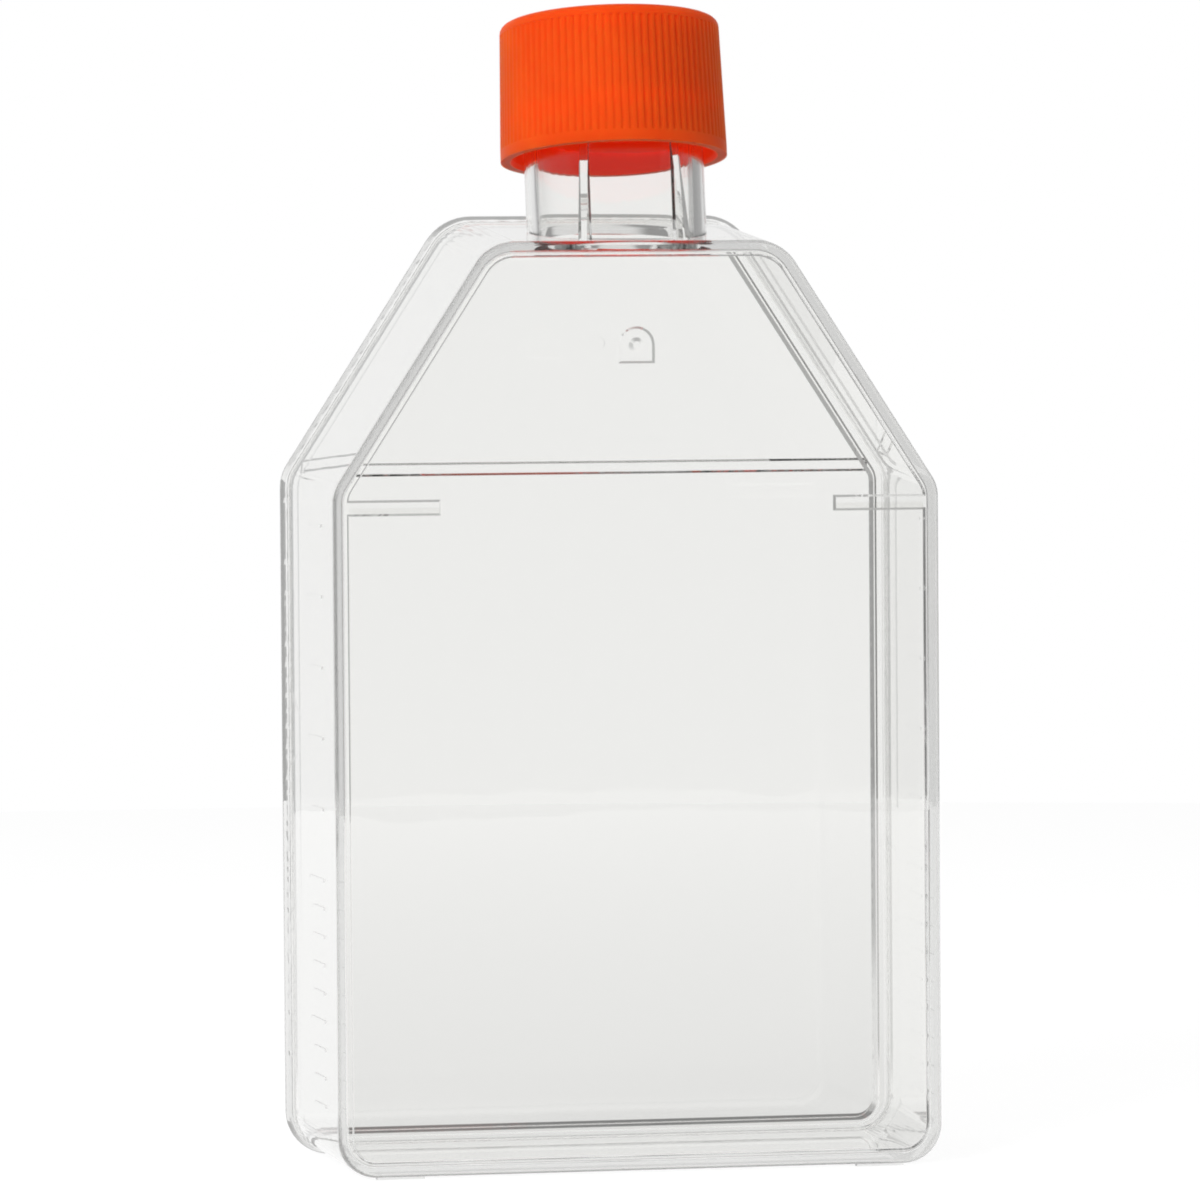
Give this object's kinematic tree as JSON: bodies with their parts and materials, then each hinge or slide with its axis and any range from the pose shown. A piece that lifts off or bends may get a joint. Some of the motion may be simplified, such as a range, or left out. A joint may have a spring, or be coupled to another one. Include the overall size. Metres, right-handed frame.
{
  "type": "cell culture flask",
  "caption": "Flat clear cell culture flask with sloped shoulders, a canted neck and a fine-ribbed screw cap, standing on its base end.",
  "frame": {"origin": "middle of the base end, at mid depth, on the plane that the flask stands on", "axes": "+Z towards the neck end, +X across the flask, -Y out of the growth face, +Y out of the top plate"},
  "size_m": [0.0856, 0.036, 0.1558],
  "materials": {
    "clear_body": "clear moulded polystyrene",
    "clear_plate": "clear moulded polystyrene",
    "cap_plastic": "orange moulded polyethylene with a satin face",
    "liner_foam": "white polyethylene sealing foam"
  },
  "bodies": {
    "flask": {"flask_body": "clear_body", "top_plate": "clear_plate"},
    "liner": {"cap_liner": "liner_foam"},
    "cap": {"screw_cap": "cap_plastic"}
  },
  "joints": [
    {"name": "cap_lift", "type": "slide", "parent": "flask", "child": "liner", "axis": [0, 0.1564, 0.9877], "range_m": [0, 0.01]},
    {"name": "cap_turn", "type": "hinge", "parent": "liner", "child": "cap", "pos_m": [0, -0.0028, 0.1353], "axis": [0, 0.1564, 0.9877], "range_deg": [0, 900]}
  ],
  "couplings": [
    {"joint": "cap_lift", "follows": "cap_turn", "m_per_rad": 0.0006366}
  ]
}
